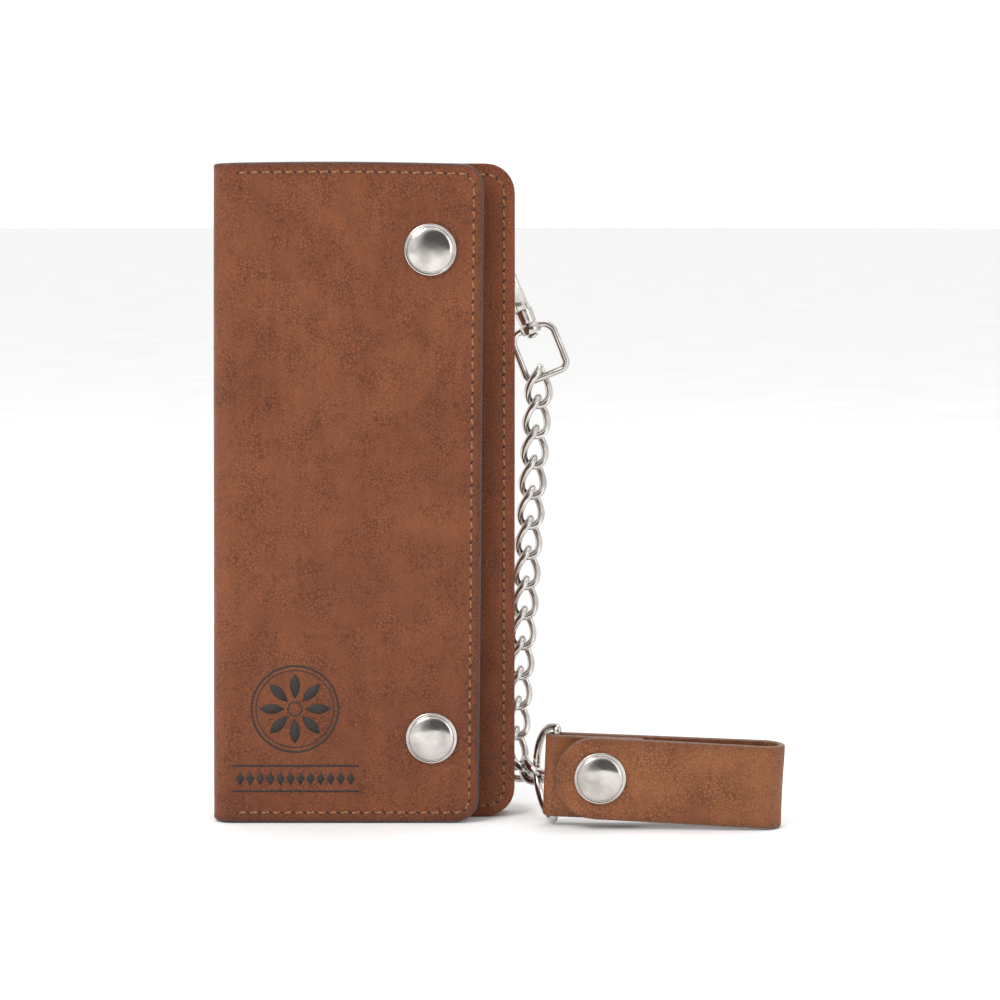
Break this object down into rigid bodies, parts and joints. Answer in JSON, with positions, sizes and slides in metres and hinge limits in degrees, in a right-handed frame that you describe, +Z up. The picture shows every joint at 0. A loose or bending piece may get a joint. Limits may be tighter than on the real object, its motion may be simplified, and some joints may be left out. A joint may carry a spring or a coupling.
{
  "type": "chain wallet",
  "caption": "Long leather wallet on its edge: folding snap cover, zip and card pockets, snap hook, curb chain and snap belt strap.",
  "frame": {"origin": "middle of the back cover's lower edge, halfway through its leather, where the wallet stands", "axes": "+Z up the wallet's height, +X towards the cover's free edge, front flap towards -Y"},
  "size_m": [0.1654, 0.0549, 0.191],
  "materials": {
    "cover_leather": "brown pull-up leather, waxed",
    "lining_leather": "thin brown leather, matte",
    "strap_leather": "brown pull-up leather, dry",
    "zip_tape": "woven dark brown tape",
    "zip_brass": "antique brass, satin",
    "nickel": "nickel plate, polished"
  },
  "bodies": {
    "back": {"back_cover": "cover_leather", "coin_pocket_front": "lining_leather", "coin_pocket_welt": "lining_leather", "coin_pocket_back": "lining_leather", "bill_gusset": "lining_leather", "bill_divider": "lining_leather", "zip_tape_left": "zip_tape", "zip_tape_right": "zip_tape", "lower_snap_stud": "nickel", "lower_snap_post": "nickel", "upper_snap_stud": "nickel", "upper_snap_post": "nickel", "ring_tab": "cover_leather", "ring_tab_rivet": "nickel"},
    "spine": {"spine": "cover_leather"},
    "flap": {"front_flap": "cover_leather", "card_panel_1": "lining_leather", "card_panel_2": "lining_leather", "card_panel_3": "lining_leather", "lower_snap_cap": "nickel", "lower_snap_socket": "nickel", "upper_snap_cap": "nickel", "upper_snap_socket": "nickel"},
    "zip_slider": {"zip_slider": "zip_brass"},
    "zip_puller": {"zip_puller": "zip_brass"},
    "anchor_ring": {"anchor_ring": "nickel"},
    "hook": {"hook_body": "nickel", "gate_pin": "nickel", "gate_spring": "nickel"},
    "gate": {"hook_gate": "nickel"},
    "swivel_eye": {"swivel_eye": "nickel"},
    "link_01": {"chain_link_01": "nickel"},
    "link_02": {"chain_link_02": "nickel"},
    "link_03": {"chain_link_03": "nickel"},
    "link_04": {"chain_link_04": "nickel"},
    "link_05": {"chain_link_05": "nickel"},
    "link_06": {"chain_link_06": "nickel"},
    "link_07": {"chain_link_07": "nickel"},
    "link_08": {"chain_link_08": "nickel"},
    "link_09": {"chain_link_09": "nickel"},
    "link_10": {"chain_link_10": "nickel"},
    "link_11": {"chain_link_11": "nickel"},
    "link_12": {"chain_link_12": "nickel"},
    "link_13": {"chain_link_13": "nickel"},
    "link_14": {"chain_link_14": "nickel"},
    "link_15": {"chain_link_15": "nickel"},
    "strap_ring": {"strap_ring": "nickel"},
    "strap": {"strap_back": "strap_leather", "strap_snap_stud": "nickel", "strap_snap_post": "nickel"},
    "strap_tab": {"strap_tab": "strap_leather", "strap_snap_cap": "nickel", "strap_snap_socket": "nickel"}
  },
  "joints": [
    {"name": "spine_fold", "type": "hinge", "parent": "back", "child": "spine", "pos_m": [-0.0415, -0.0012, 0], "axis": [0, 0, -1], "range_deg": [0, 88]},
    {"name": "flap_fold", "type": "hinge", "parent": "spine", "child": "flap", "pos_m": [-0.0415, -0.017, 0], "axis": [0, 0, -1], "range_deg": [0, 88]},
    {"name": "zip_slide", "type": "slide", "parent": "back", "child": "zip_slider", "axis": [0, 0, -1], "range_m": [0, 0.139]},
    {"name": "puller_tip", "type": "hinge", "parent": "zip_slider", "child": "zip_puller", "pos_m": [-0.02, -0.01225, 0.1665], "axis": [-1, 0, 0], "range_deg": [0, 3]},
    {"name": "anchor_ring_tip", "type": "hinge", "parent": "back", "child": "anchor_ring", "pos_m": [0.0345, 0.004, 0.181], "axis": [1, 0, 0], "range_deg": [0, 60]},
    {"name": "hook_tip", "type": "hinge", "parent": "anchor_ring", "child": "hook", "pos_m": [0.0345, 0.01496, 0.17612], "axis": [1, 0, 0], "range_deg": [0, 8]},
    {"name": "gate_press", "type": "hinge", "parent": "hook", "child": "gate", "pos_m": [0.0445, 0.01836, 0.15136], "axis": [0.9272, 0, 0.3746], "range_deg": [0, 18], "stiffness_Nm_per_rad": 0.02},
    {"name": "eye_swivel", "type": "hinge", "parent": "hook", "child": "swivel_eye", "pos_m": [0.04829, 0.01496, 0.142], "axis": [-0.3746, 0, 0.9272], "range_deg": [-8, 1.5]},
    {"name": "link_01_swing", "type": "hinge", "parent": "swivel_eye", "child": "link_01", "pos_m": [0.05116, 0.01496, 0.12949], "axis": [1, 0, 0], "range_deg": [0, 15]},
    {"name": "link_02_swing", "type": "hinge", "parent": "link_01", "child": "link_02", "pos_m": [0.05057, 0.01453, 0.12047], "axis": [0, -1, 0], "range_deg": [0, 20]},
    {"name": "link_03_swing", "type": "hinge", "parent": "link_02", "child": "link_03", "pos_m": [0.04999, 0.0141, 0.11145], "axis": [-1, 0, 0], "range_deg": [-20, 0]},
    {"name": "link_04_swing", "type": "hinge", "parent": "link_03", "child": "link_04", "pos_m": [0.0494, 0.01367, 0.10243], "axis": [0, 1, 0], "range_deg": [-20, 0]},
    {"name": "link_05_swing", "type": "hinge", "parent": "link_04", "child": "link_05", "pos_m": [0.04882, 0.01324, 0.09341], "axis": [1, 0, 0], "range_deg": [0, 20]},
    {"name": "link_06_swing", "type": "hinge", "parent": "link_05", "child": "link_06", "pos_m": [0.04824, 0.01281, 0.08438], "axis": [0, -1, 0], "range_deg": [0, 20]},
    {"name": "link_07_swing", "type": "hinge", "parent": "link_06", "child": "link_07", "pos_m": [0.04765, 0.01238, 0.07536], "axis": [-1, 0, 0], "range_deg": [-20, 0]},
    {"name": "link_08_swing", "type": "hinge", "parent": "link_07", "child": "link_08", "pos_m": [0.04707, 0.01195, 0.06634], "axis": [0, 1, 0], "range_deg": [-20, 0]},
    {"name": "link_09_swing", "type": "hinge", "parent": "link_08", "child": "link_09", "pos_m": [0.04648, 0.01152, 0.05732], "axis": [1, 0, 0], "range_deg": [0, 20]},
    {"name": "link_10_swing", "type": "hinge", "parent": "link_09", "child": "link_10", "pos_m": [0.0459, 0.01109, 0.0483], "axis": [0, -1, 0], "range_deg": [0, 20]},
    {"name": "link_11_swing", "type": "hinge", "parent": "link_10", "child": "link_11", "pos_m": [0.04531, 0.01065, 0.03928], "axis": [-1, 0, 0], "range_deg": [-20, 0]},
    {"name": "link_12_swing", "type": "hinge", "parent": "link_11", "child": "link_12", "pos_m": [0.04473, 0.01022, 0.03026], "axis": [0, 1, 0], "range_deg": [-20, 0]},
    {"name": "link_13_swing", "type": "hinge", "parent": "link_12", "child": "link_13", "pos_m": [0.04414, 0.00979, 0.02124], "axis": [1, 0, 0], "range_deg": [0, 20]},
    {"name": "link_14_swing", "type": "hinge", "parent": "link_13", "child": "link_14", "pos_m": [0.04278, 0.01057, 0.01085], "axis": [1, 0, 0], "range_deg": [0, 10]},
    {"name": "link_15_swing", "type": "hinge", "parent": "link_14", "child": "link_15", "pos_m": [0.04687, 0.00317, 0.01143], "axis": [0, 0, -1], "range_deg": [-20, 0]},
    {"name": "strap_ring_swing", "type": "hinge", "parent": "link_15", "child": "strap_ring", "pos_m": [0.05088, -0.00405, 0.01201], "axis": [0, 0, 1], "range_deg": [0, 12]},
    {"name": "strap_turn", "type": "hinge", "parent": "strap_ring", "child": "strap", "pos_m": [0.05547, -0.02074, 0.01464], "axis": [0.0402, 0, 0.9992], "range_deg": [-10, 45]},
    {"name": "tab_open", "type": "hinge", "parent": "strap", "child": "strap_tab", "pos_m": [0.11994, -0.02344, 0.00004], "axis": [0.0402, 0, 0.9992], "range_deg": [0, 110]}
  ],
  "couplings": [
    {"joint": "flap_fold", "follows": "spine_fold", "ratio": 1}
  ]
}
